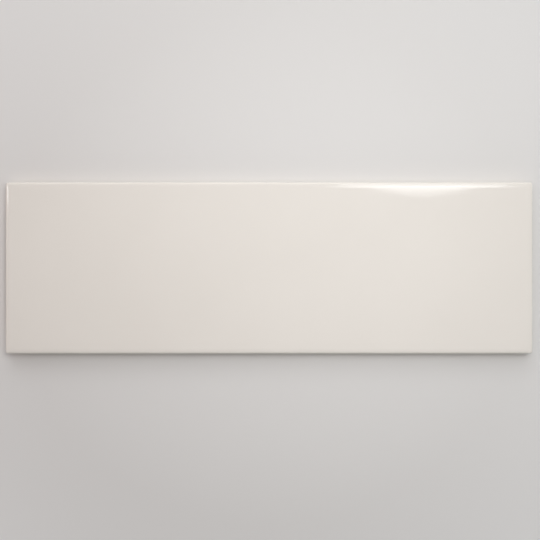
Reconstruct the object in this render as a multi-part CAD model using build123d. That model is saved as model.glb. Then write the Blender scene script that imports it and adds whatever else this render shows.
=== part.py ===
from build123d import *
import math
import os

# Flat gloss wall tile, nominal 4 x 12 in, dust-pressed and fired as one piece.
# Millimetres. The back lies on Z = 0 with the origin at its middle, the glazed
# face looks up +Z, the length runs along X and the width along Y.

# Overall size, measured over the glazed face
LENGTH = 301.6
WIDTH = 98.0
THICKNESS = 8.0

# Cushion edge of the face: a shallow shoulder that ends in a tight arris
SHOULDER_WIDTH = 3.2
SHOULDER_RADIUS = 11.0
ARRIS_RADIUS = 1.3
CORNER_RADIUS = 1.2

# Sides: an upright land below the arris, then the die's draft down to the back
LAND_FOOT = 4.4
DRAFT_ANGLE = 3.0
BACK_ARRIS_RADIUS = 0.6

# Keys in the back: a grid of shallow square pockets that leaves ribs and a border
POCKETS_ALONG = 13
POCKETS_ACROSS = 4
BORDER = 7.0
RIB_WIDTH = 2.8
POCKET_DEPTH = 0.8
POCKET_DRAFT = 35.0
POCKET_CORNER_RADIUS = 2.4

# Where the arris round meets the shoulder round, in the section's own frame
shoulder_centre_z = THICKNESS - SHOULDER_RADIUS
arris_centre_z = shoulder_centre_z + math.sqrt(
    (SHOULDER_RADIUS - ARRIS_RADIUS) ** 2 - (SHOULDER_WIDTH - ARRIS_RADIUS) ** 2
)
meeting_slope = math.atan2(
    SHOULDER_WIDTH - ARRIS_RADIUS, arris_centre_z - shoulder_centre_z
)
meeting_inset = SHOULDER_WIDTH - SHOULDER_RADIUS * math.sin(meeting_slope)
meeting_z = shoulder_centre_z + SHOULDER_RADIUS * math.cos(meeting_slope)

# What the draft takes off each side by the time it reaches the back
draft_setback = LAND_FOOT * math.tan(math.radians(DRAFT_ANGLE))


def upright_section(span):
    """Section across one span with the cushion edge, its sides still upright."""
    half = span / 2
    side = Polyline((0, 0), (half, 0), (half, arris_centre_z))
    arris = RadiusArc(side @ 1, (half - meeting_inset, meeting_z), -ARRIS_RADIUS)
    shoulder = RadiusArc(
        arris @ 1, (half - SHOULDER_WIDTH, THICKNESS), -SHOULDER_RADIUS
    )
    face = Line(shoulder @ 1, (0, THICKNESS))
    right_half = Curve() + [side, arris, shoulder, face]
    return make_face(right_half + mirror(right_half, Plane.YZ))


def cushioned_block():
    """Two crossed sections, so that the cushion edge mitres at each corner.
    One fillet then blends the mitre and the upright corner below it."""
    along = extrude(Plane.YZ * upright_section(WIDTH), LENGTH / 2, both=True)
    across = extrude(Plane.XZ * upright_section(LENGTH), WIDTH / 2, both=True)
    block = along & across
    corner_edges = [
        edge
        for edge in block.edges()
        if abs(edge.tangent_at(0.5).Z) > 0.9
        or min(abs(edge.tangent_at(0.5).X), abs(edge.tangent_at(0.5).Y)) > 0.01
    ]
    return fillet(corner_edges, CORNER_RADIUS)


def drafted_foot():
    """The lower part of the body, tapered so that it leaves the die freely."""
    outline = RectangleRounded(LENGTH, WIDTH, CORNER_RADIUS)
    foot = extrude(
        Pos(0, 0, LAND_FOOT) * outline,
        LAND_FOOT,
        dir=(0, 0, -1),
        taper=DRAFT_ANGLE,
    )
    back_face = foot.faces().sort_by(Axis.Z)[0]
    return fillet(back_face.edges(), BACK_ARRIS_RADIUS)


def key_pockets():
    """The pockets that the lower punch leaves in the back for the adhesive."""
    back_length = LENGTH - 2 * draft_setback
    back_width = WIDTH - 2 * draft_setback
    pitch_x = (back_length - 2 * BORDER + RIB_WIDTH) / POCKETS_ALONG
    pitch_y = (back_width - 2 * BORDER + RIB_WIDTH) / POCKETS_ACROSS
    mouth = RectangleRounded(
        pitch_x - RIB_WIDTH, pitch_y - RIB_WIDTH, POCKET_CORNER_RADIUS
    )
    pocket = extrude(mouth, POCKET_DEPTH, taper=POCKET_DRAFT)
    grid = GridLocations(pitch_x, pitch_y, POCKETS_ALONG, POCKETS_ACROSS)
    return [place * pocket for place in grid]


upper = split(cushioned_block(), Plane.XY.offset(LAND_FOOT), keep=Keep.TOP)
tile = upper + drafted_foot() - key_pockets()

os.makedirs("parts", exist_ok=True)
export_step(tile, "parts/tile.step")
print("tile volume", round(tile.volume), "mm3, size", tile.bounding_box().size)
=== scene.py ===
import math

import bmesh
import bpy
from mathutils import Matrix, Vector


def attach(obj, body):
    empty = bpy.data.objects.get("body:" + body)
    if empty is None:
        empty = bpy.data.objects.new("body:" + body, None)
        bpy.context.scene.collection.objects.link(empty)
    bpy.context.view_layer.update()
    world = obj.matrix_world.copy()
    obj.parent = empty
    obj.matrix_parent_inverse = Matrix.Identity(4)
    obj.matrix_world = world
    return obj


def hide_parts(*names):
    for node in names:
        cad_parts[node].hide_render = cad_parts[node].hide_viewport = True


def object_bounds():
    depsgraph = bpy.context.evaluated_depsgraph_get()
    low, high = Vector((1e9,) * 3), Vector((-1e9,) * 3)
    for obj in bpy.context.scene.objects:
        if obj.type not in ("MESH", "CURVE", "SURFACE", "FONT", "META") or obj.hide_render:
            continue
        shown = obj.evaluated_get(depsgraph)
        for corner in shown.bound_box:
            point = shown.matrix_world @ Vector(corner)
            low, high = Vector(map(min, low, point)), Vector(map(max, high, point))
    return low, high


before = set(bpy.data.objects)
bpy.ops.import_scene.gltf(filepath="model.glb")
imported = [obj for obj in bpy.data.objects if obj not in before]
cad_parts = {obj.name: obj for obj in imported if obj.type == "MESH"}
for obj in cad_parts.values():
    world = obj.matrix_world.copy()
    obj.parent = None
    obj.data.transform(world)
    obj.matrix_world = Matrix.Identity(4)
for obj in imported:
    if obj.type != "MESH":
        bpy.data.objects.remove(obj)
cad_low, cad_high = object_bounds()
bpy.ops.object.select_all(action="DESELECT")

# The pressed blank
# A slab of dust-pressed white clay as the die leaves it: upright land at the top
# of its sides, a slight draft below, and room left for the glaze on the sides.
mm = 0.001
length = cad_high.x - cad_low.x
width = cad_high.y - cad_low.y
thickness = cad_high.z - cad_low.z
shoulder_width = 3.2 * mm
shoulder_radius = 11 * mm
arris_radius = 1.3 * mm
corner_radius, corner_steps = 1.2 * mm, 7
land_foot = 4.4 * mm
draft = math.tan(math.radians(3))
glaze_thickness = 0.14 * mm
glaze_foot = 2.9 * mm
near_enough = 0.01 * mm
shoulder_centre = thickness - shoulder_radius
arris_centre = shoulder_centre + math.sqrt(
    (shoulder_radius - arris_radius) ** 2 - (shoulder_width - arris_radius) ** 2
)


def die_wall(height):
    """How far the die's draft has drawn the side in, at a height above the back."""
    return max(0, land_foot - height) * draft


side_loops = [
    (0, die_wall(0) + glaze_thickness),
    (glaze_foot, die_wall(glaze_foot) + glaze_thickness),
    (glaze_foot + 0.1 * mm, die_wall(glaze_foot) + 0.4 * glaze_thickness),
    (glaze_foot + 0.3 * mm, die_wall(glaze_foot) - 0.3 * glaze_thickness),
    (glaze_foot + 0.6 * mm, die_wall(glaze_foot) - 0.2 * glaze_thickness),
    (land_foot, 0),
]

bpy.ops.mesh.primitive_cube_add(
    size=1, location=(0, 0, arris_centre / 2), scale=(length, width, arris_centre)
)
tile = bpy.context.object
tile.name = "glazed_tile"
bpy.ops.object.transform_apply(location=True, rotation=False, scale=True)
bpy.ops.object.mode_set(mode="EDIT")


def pick(kind, wanted):
    """Selects the tile's wanted faces, edges or verts, and no others."""
    bpy.ops.mesh.select_mode(type=kind)
    bpy.ops.mesh.select_all(action="DESELECT")
    mesh = bmesh.from_edit_mesh(tile.data)
    elements = {"FACE": mesh.faces, "EDGE": mesh.edges, "VERT": mesh.verts}[kind]
    for element in elements:
        if wanted(element):
            element.select_set(True)
    mesh.select_flush_mode()
    bmesh.update_edit_mesh(tile.data)


def near(value, target):
    """Whether two lengths are the same, apart from rounding."""
    return abs(value - target) < near_enough


def draw_in(setback):
    """Draws what is selected in from the land's outline, its corners still round."""
    bpy.ops.transform.resize(
        value=(1 - 2 * setback / length, 1 - 2 * setback / width, 1)
    )


pick("EDGE", lambda e: near(abs(e.verts[0].co.z - e.verts[1].co.z), arris_centre))
bpy.ops.mesh.bevel(offset=corner_radius, segments=corner_steps, affect="EDGES")
for height, setback in side_loops[1:]:
    bpy.ops.mesh.select_all(action="SELECT")
    bpy.ops.mesh.bisect(plane_co=(0, 0, height), plane_no=(0, 0, 1))
for height, setback in side_loops:
    pick("VERT", lambda v: near(v.co.z, height))
    draw_in(setback)

# Keys in the back
# The lower punch leaves square pockets inside a plain border, so that the
# adhesive can grip. Their walls slope and their edges are soft from pressing.
border = 7.0 * mm
rib_width = 2.8 * mm
pocket_depth = 0.8 * mm
pocket_slope = math.tan(math.radians(35))
pockets_along, pockets_across = 13, 4
pocket_corner, pocket_corner_steps = 2.4 * mm, 5
pocket_softening, pocket_softening_steps = 0.3 * mm, 2
level = 0.9
back_setback = die_wall(0) + glaze_thickness
margin = border - rib_width / 2
grid_length = length - 2 * (back_setback + margin)
grid_width = width - 2 * (back_setback + margin)


def from_outline(point):
    """How far a point lies inside the tile's outline."""
    return min(length / 2 - abs(point.x), width / 2 - abs(point.y))


def is_back(face):
    return face.normal.z < -level


def in_key_grid(face):
    centre = face.calc_center_bounds()
    in_length = abs(centre.x) < grid_length / 2
    in_width = abs(centre.y) < grid_width / 2
    return in_length and in_width and is_back(face)


def cut_back(wanted, direction, places):
    """Cuts the wanted faces of the back across at each of the places."""
    for place in places:
        pick("FACE", wanted)
        bpy.ops.mesh.bisect(
            plane_co=[place * axis for axis in direction], plane_no=direction
        )


def is_pocket_corner(edge):
    low, high = sorted(v.co.z for v in edge.verts)
    return near(low, 0) and near(high, pocket_depth)


def is_pocket_rim(edge):
    first, second = (v.co for v in edge.verts)
    slopes = [abs(face.normal.z) < level for face in edge.link_faces]
    inside = from_outline(first) > border / 2
    return inside and near(first.z, second.z) and any(slopes) and not all(slopes)


for direction, span, count in (
    ((1, 0, 0), grid_length, pockets_along),
    ((0, 1, 0), grid_width, pockets_across),
):
    rib_lines = [k * span / count - span / 2 for k in range(count + 1)]
    cut_back(is_back, direction, (rib_lines[0], rib_lines[-1]))
    cut_back(in_key_grid, direction, rib_lines[1:-1])
pick("FACE", in_key_grid)
bpy.ops.mesh.inset(use_individual=True, thickness=rib_width / 2)
bpy.ops.mesh.inset(
    use_individual=True, thickness=pocket_depth * pocket_slope, depth=-pocket_depth
)
pick("EDGE", is_pocket_corner)
bpy.ops.mesh.bevel(
    offset=pocket_corner, segments=pocket_corner_steps, affect="EDGES"
)
pick("EDGE", is_pocket_rim)
bpy.ops.mesh.bevel(
    offset=pocket_softening, segments=pocket_softening_steps, affect="EDGES"
)

# Cushion edge
# The upper punch rounds the face off all round: a shallow shoulder that ends in
# a tight arris. At the corners the four sides run into each other in a soft blend.
arris_steps, shoulder_steps = 7, 8
back_softening, back_softening_steps = 0.6 * mm, 4
meeting_slope = math.atan2(
    shoulder_width - arris_radius, arris_centre - shoulder_centre
)
arris_turn = math.pi / 2 - meeting_slope

edge_profile = [(0, arris_centre)]
for k in range(1, arris_steps + 1):
    angle = arris_turn * k / arris_steps
    edge_profile.append(
        (
            arris_radius * (1 - math.cos(angle)),
            arris_centre + arris_radius * math.sin(angle),
        )
    )
for k in range(1, shoulder_steps + 1):
    slope = meeting_slope * (1 - k / shoulder_steps)
    edge_profile.append(
        (
            shoulder_width - shoulder_radius * math.sin(slope),
            shoulder_centre + shoulder_radius * math.cos(slope),
        )
    )


def is_back_outline(edge):
    first, second = (v.co for v in edge.verts)
    walls = [face.normal.z > -level for face in edge.link_faces]
    outside = from_outline(first) < border / 2
    return near(first.z, 0) and near(second.z, 0) and outside and any(walls)


pick("FACE", lambda f: f.normal.z > level)
for (inner, lower), (outer, upper) in zip(edge_profile, edge_profile[1:]):
    bpy.ops.mesh.extrude_region_move(
        TRANSFORM_OT_translate={"value": (0, 0, upper - lower)}
    )
    bpy.ops.transform.resize(
        value=(
            (length - 2 * outer) / (length - 2 * inner),
            (width - 2 * outer) / (width - 2 * inner),
            1,
        )
    )
pick("EDGE", is_back_outline)
bpy.ops.mesh.bevel(
    offset=back_softening, segments=back_softening_steps, affect="EDGES"
)

# Glaze
# The glaze is sprayed over the face and runs a little way down the sides, where
# it stops in a wandering line with a slight bead. It fires to a faint ripple.
cut_spacing = 2.0 * mm
cut_inset = shoulder_width + 2 * mm
side_depth = 2 * mm
run_height, run_length = 1.3 * mm, 11 * mm
ripple_height, ripple_length = 0.03 * mm, 45 * mm
ripple_fade = 14 * mm


def cut_places(span):
    """Evenly spread places across a span, clear of its two rounded ends."""
    count = round((span - 2 * cut_inset) / cut_spacing)
    step = (span - 2 * cut_inset) / count
    return [cut_inset - span / 2 + k * step for k in range(count + 1)]


def is_outside(face):
    """Whether a face belongs to the glazed top or to the sides."""
    at_side = from_outline(face.calc_center_bounds()) < side_depth
    return face.normal.z > level or (at_side and face.normal.z > -0.99)


for direction, span in (((1, 0, 0), length), ((0, 1, 0), width)):
    for place in cut_places(span):
        pick("FACE", is_outside)
        bpy.ops.mesh.bisect(
            plane_co=[place * axis for axis in direction], plane_no=direction
        )

bpy.ops.object.mode_set(mode="OBJECT")
glazed_faces = {
    face.index for face in tile.data.polygons if face.center.z > glaze_foot
}
run = tile.vertex_groups.new(name="run")
ripple = tile.vertex_groups.new(name="ripple")
for vertex in tile.data.vertices:
    height, inset = vertex.co.z, from_outline(vertex.co)
    near_line = glaze_foot - near_enough < height < land_foot - near_enough
    if near_line and inset < border / 2:
        run.add([vertex.index], (land_foot - height) / (land_foot - glaze_foot), "ADD")
    elif near(height, thickness) and inset > shoulder_width:
        share = min(1, (inset - shoulder_width) / ripple_fade)
        ripple.add([vertex.index], share * share * (3 - 2 * share), "ADD")
for name, reach, size, mid_level in (
    ("run", run_height, run_length, 0.5),
    ("ripple", ripple_height, ripple_length, 1.0),
):
    clouds = bpy.data.textures.new(name, "CLOUDS")
    clouds.noise_scale = size
    wave = tile.modifiers.new(name, "DISPLACE")
    wave.texture = clouds
    wave.texture_coords = "LOCAL"
    wave.direction = "Z"
    wave.vertex_group = name
    wave.strength = reach
    wave.mid_level = mid_level
    bpy.ops.object.modifier_apply(modifier=name)
bpy.ops.object.shade_smooth()
even = tile.modifiers.new("even", "WEIGHTED_NORMAL")
bpy.ops.object.modifier_apply(modifier=even.name)

# The glaze is an opaque, slightly warm white with a wet gloss. It pulls thin over
# the arris, where a little more of the clay's colour comes through.
thin_glaze = tile.data.attributes.new("thin_glaze", "FLOAT", "POINT")
for vertex, entry in zip(tile.data.vertices, thin_glaze.data):
    upward = max(0, min(1, vertex.normal.z))
    entry.value = 2 * upward * math.sqrt(1 - upward * upward)

glaze = bpy.data.materials.new("white_glaze")
glaze.use_nodes = True
nodes, links = glaze.node_tree.nodes, glaze.node_tree.links
gloss = nodes["Principled BSDF"]
gloss.inputs["IOR"].default_value = 1.52


def place_on(nodes):
    """The place on the piece that its patterns are fixed to."""
    place = nodes.get("Texture Coordinate") or nodes.new("ShaderNodeTexCoord")
    return place.outputs["Object"]


def noise_on(nodes, links, scale, detail):
    """Noise that is fixed to the piece, with its scale in features a metre."""
    noise = nodes.new("ShaderNodeTexNoise")
    noise.inputs["Scale"].default_value = scale
    noise.inputs["Detail"].default_value = detail
    links.new(place_on(nodes), noise.inputs["Vector"])
    return noise.outputs["Fac"]


def ranged(nodes, links, value, low, high, to_low, to_high):
    """A value's stretch from low to high, spread over another one and clamped."""
    spread = nodes.new("ShaderNodeMapRange")
    for socket, number in (
        ("From Min", low), ("From Max", high), ("To Min", to_low), ("To Max", to_high)
    ):
        spread.inputs[socket].default_value = number
    links.new(value, spread.inputs["Value"])
    return spread.outputs["Result"]


def mixed(nodes, links, share, first, second):
    """One colour going over into another, each a socket or a plain colour."""
    blend = nodes.new("ShaderNodeMix")
    blend.data_type = "RGBA"
    links.new(share, blend.inputs["Factor"])
    for socket, colour in zip((blend.inputs[6], blend.inputs[7]), (first, second)):
        if isinstance(colour, tuple):
            socket.default_value = (*colour, 1)
        else:
            links.new(colour, socket)
    return blend.outputs[2]


def combined(nodes, links, operation, first, second):
    """Two values put together by one of the math node's operations."""
    both = nodes.new("ShaderNodeMath")
    both.operation = operation
    links.new(first, both.inputs[0])
    links.new(second, both.inputs[1])
    return both.outputs["Value"]


def roughened(nodes, links, surface, height, strength, distance):
    """A fine relief on a surface, from a height pattern."""
    relief = nodes.new("ShaderNodeBump")
    relief.inputs["Strength"].default_value = strength
    relief.inputs["Distance"].default_value = distance
    links.new(height, relief.inputs["Height"])
    links.new(relief.outputs["Normal"], surface.inputs["Normal"])


drift = ranged(nodes, links, noise_on(nodes, links, 18, 3), 0.35, 0.65, 0, 1)
body_tone = mixed(nodes, links, drift, (0.783, 0.747, 0.694), (0.795, 0.759, 0.706))
arris = nodes.new("ShaderNodeAttribute")
arris.attribute_name = "thin_glaze"
thin = ranged(nodes, links, arris.outputs["Fac"], 0.55, 1.0, 0, 0.3)
glaze_tone = mixed(nodes, links, thin, body_tone, (0.77, 0.72, 0.67))
links.new(glaze_tone, gloss.inputs["Base Color"])
wet = ranged(nodes, links, noise_on(nodes, links, 60, 4), 0.3, 0.7, 0.04, 0.06)
links.new(wet, gloss.inputs["Roughness"])
skin = noise_on(nodes, links, 160, 2)
roughened(nodes, links, gloss, skin, 0.05, 0.2 * mm)

# The biscuit is the bare fired clay of the foot and the back: pale buff, dry and
# matt, with the grain of the pressed granules, a few dark specks, a mist of glaze
# just below the glaze line and worn white kiln wash on the ribs.
biscuit = bpy.data.materials.new("fired_clay")
biscuit.use_nodes = True
nodes, links = biscuit.node_tree.nodes, biscuit.node_tree.links
clay = nodes["Principled BSDF"]
clay.inputs["Roughness"].default_value = 0.9
split = nodes.new("ShaderNodeSeparateXYZ")
links.new(place_on(nodes), split.inputs["Vector"])
height = split.outputs["Z"]

mottle = ranged(nodes, links, noise_on(nodes, links, 260, 5), 0.35, 0.65, 0, 1)
clay_tone = mixed(nodes, links, mottle, (0.66, 0.575, 0.47), (0.75, 0.68, 0.58))
specks = ranged(nodes, links, noise_on(nodes, links, 2200, 1), 0.69, 0.73, 0, 0.55)
clay_tone = mixed(nodes, links, specks, clay_tone, (0.42, 0.33, 0.25))
sprayed = ranged(nodes, links, height, glaze_foot - 1.6 * mm, glaze_foot, 0, 1)
droplets = ranged(nodes, links, noise_on(nodes, links, 1900, 2), 0.5, 0.6, 0, 0.8)
mist = combined(nodes, links, "MULTIPLY", sprayed, droplets)
clay_tone = mixed(nodes, links, mist, clay_tone, (0.79, 0.75, 0.70))
on_ribs = ranged(nodes, links, height, 0.1 * mm, 0.35 * mm, 1, 0)
patches = ranged(nodes, links, noise_on(nodes, links, 90, 6), 0.38, 0.56, 0.15, 0.8)
wash = combined(nodes, links, "MULTIPLY", on_ribs, patches)
clay_tone = mixed(nodes, links, wash, clay_tone, (0.80, 0.78, 0.74))
links.new(clay_tone, clay.inputs["Base Color"])
tooth = noise_on(nodes, links, 1100, 5)
roughened(nodes, links, clay, tooth, 0.6, 0.12 * mm)

tile.data.materials.append(biscuit)
tile.data.materials.append(glaze)
for face in tile.data.polygons:
    face.material_index = 1 if face.index in glazed_faces else 0

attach(tile, "root")
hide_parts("tile")

# Floor
# A plain pale sheet that the tile lies on. Far from the tile it fades into the
# room's brightness, so that no horizon shows behind the tile.
room_brightness = 0.95
floor_size = 6
fade_start, fade_end, fade_power = 0.15, 0.85, 0.55

bpy.ops.mesh.primitive_plane_add(size=floor_size, location=(0, 0, 0))
floor = bpy.context.object
floor.name = "floor"
paper = bpy.data.materials.new("floor_paper")
paper.use_nodes = True
nodes, links = paper.node_tree.nodes, paper.node_tree.links
surface = nodes["Principled BSDF"]
surface.inputs["Base Color"].default_value = (0.70, 0.69, 0.675, 1)
surface.inputs["Roughness"].default_value = 0.8
distance = nodes.new("ShaderNodeVectorMath")
distance.operation = "LENGTH"
links.new(place_on(nodes), distance.inputs[0])
fade = nodes.new("ShaderNodeMapRange")
fade.interpolation_type = "SMOOTHSTEP"
fade.inputs["From Min"].default_value = fade_start
fade.inputs["From Max"].default_value = fade_end
links.new(distance.outputs["Value"], fade.inputs["Value"])
early = nodes.new("ShaderNodeMath")
early.operation = "POWER"
early.inputs[1].default_value = fade_power
links.new(fade.outputs["Result"], early.inputs[0])
ray = nodes.new("ShaderNodeLightPath").outputs
seen = combined(nodes, links, "MAXIMUM", ray["Is Camera Ray"], ray["Is Glossy Ray"])
seen = combined(nodes, links, "MAXIMUM", seen, ray["Is Transmission Ray"])
share = combined(nodes, links, "MULTIPLY", early.outputs["Value"], seen)
haze = nodes.new("ShaderNodeEmission")
haze.inputs["Color"].default_value = (1, 1, 1, 1)
haze.inputs["Strength"].default_value = room_brightness
blend = nodes.new("ShaderNodeMixShader")
links.new(share, blend.inputs["Fac"])
links.new(surface.outputs["BSDF"], blend.inputs[1])
links.new(haze.outputs["Emission"], blend.inputs[2])
links.new(blend.outputs["Shader"], nodes["Material Output"].inputs["Surface"])
floor.data.materials.append(paper)

# Camera
# Straight above the face, at the distance of a hand-held close picture. The
# tile's middle falls a little left of and above the middle of the picture.
picture_side = 540
tile_middle_px = (269.2, 267.9)
tile_length_px = 526.1
widest_height = arris_centre
camera_height = 0.36
metres_per_px = length / tile_length_px
camera_data = bpy.data.cameras.new("camera")
camera = bpy.data.objects.new("camera", camera_data)
bpy.context.scene.collection.objects.link(camera)
camera.location = (
    (picture_side / 2 - tile_middle_px[0]) * metres_per_px,
    (tile_middle_px[1] - picture_side / 2) * metres_per_px,
    thickness + camera_height,
)
camera_data.sensor_width = 36
camera_data.lens = (
    camera_data.sensor_width
    * (camera_height + thickness - widest_height)
    / (picture_side * metres_per_px)
)
bpy.context.scene.camera = camera

# Light
# Soft lamps beyond the upper right show as a long lens-shaped glint along the tile's
# top edge, and one at the side as a small glint at its upper left. Broad fills, a ring
# of upright soft boxes and a room that is brightest low down light the rest.
lamp_height = 0.72
layer_gap = 0.005
glint_middle, upper_middle = (0.088, 0.068), (0.094, 0.130)
glint_layers = (((0.350, 0.141), 2.1), ((0.318, 0.155), 2.0), ((0.28, 0.168), 1.6))
soft_boxes, ring_radius, ring_height, ring_start = 6, 1.5, 0.6, 15


def area_lamp(name, shape, location, target, size, radiance, colour=(1, 1, 1)):
    """An area lamp that the camera itself doesn't see."""
    data = bpy.data.lights.new(name, "AREA")
    data.shape = shape
    data.size, data.size_y = size
    area = size[0] * size[1] * (math.pi / 4 if shape == "ELLIPSE" else 1)
    data.energy = radiance * math.pi * area
    data.color = colour
    lamp = bpy.data.objects.new(name, data)
    bpy.context.scene.collection.objects.link(lamp)
    lamp.location = location
    aim = Vector(target) - Vector(location)
    lamp.rotation_euler = aim.to_track_quat("-Z", "Y").to_euler()
    lamp.visible_camera = False
    return lamp


def overhead_lamp(name, x, y, layer, size, radiance):
    """A lamp that looks straight down and shows in the tile's face at (x, y)."""
    spread = (camera_height + lamp_height) / camera_height
    place = (
        camera.location.x + (x - camera.location.x) * spread,
        camera.location.y + (y - camera.location.y) * spread,
        thickness + lamp_height + layer * layer_gap,
    )
    area_lamp(name, "ELLIPSE", place, (place[0], place[1], 0), size, radiance)


for layer, (size, radiance) in enumerate(glint_layers):
    overhead_lamp("glint", *glint_middle, layer, size, radiance)
overhead_lamp("upper", *upper_middle, len(glint_layers), (0.312, 0.36), 3.2)
area_lamp("side", "ELLIPSE", (-0.81, 0.155, 0.74), (-0.15, 0.04, 0), (0.04, 0.18), 8.0)
for fill in (
    area_lamp("broad", "ELLIPSE", (0.05, 0.05, 0.27), (0.02, 0.02, 0), (0.3, 0.2), 2.25),
    area_lamp(
        "left_fill", "ELLIPSE", (-0.6, 0.1, 0.3), (-0.1, 0, 0), (0.6, 0.6), 0.58,
        colour=(1, 0.60, 0.56),
    ),
    area_lamp("window", "RECTANGLE", (-0.05, 1.15, 0.80), (0, 0, 0), (1.0, 0.6), 2.8),
):
    fill.visible_glossy = False
for k in range(soft_boxes):
    angle = math.radians(ring_start + 360 * k / soft_boxes)
    stand = (ring_radius * math.cos(angle), ring_radius * math.sin(angle), ring_height)
    area_lamp("soft_box", "RECTANGLE", stand, (0, 0, 0), (0.35, 0.6), 0.65)

world = bpy.data.worlds.new("room")
bpy.context.scene.world = world
world.use_nodes = True
nodes, links = world.node_tree.nodes, world.node_tree.links
way = nodes.new("ShaderNodeTexCoord")
split = nodes.new("ShaderNodeSeparateXYZ")
links.new(way.outputs["Generated"], split.inputs["Vector"])
walls = nodes.new("ShaderNodeValToRGB")
stops = walls.color_ramp.elements
for wall_top in (0.33, 0.5):
    stops.new(wall_top)
for stop, brightness in zip(stops, (room_brightness, 0.85, 0.16, 0.1)):
    stop.color = (brightness, brightness, brightness, 1)
links.new(split.outputs["Z"], walls.inputs["Fac"])
links.new(walls.outputs["Color"], nodes["Background"].inputs["Color"])
bpy.context.scene.view_settings.view_transform = "Standard"
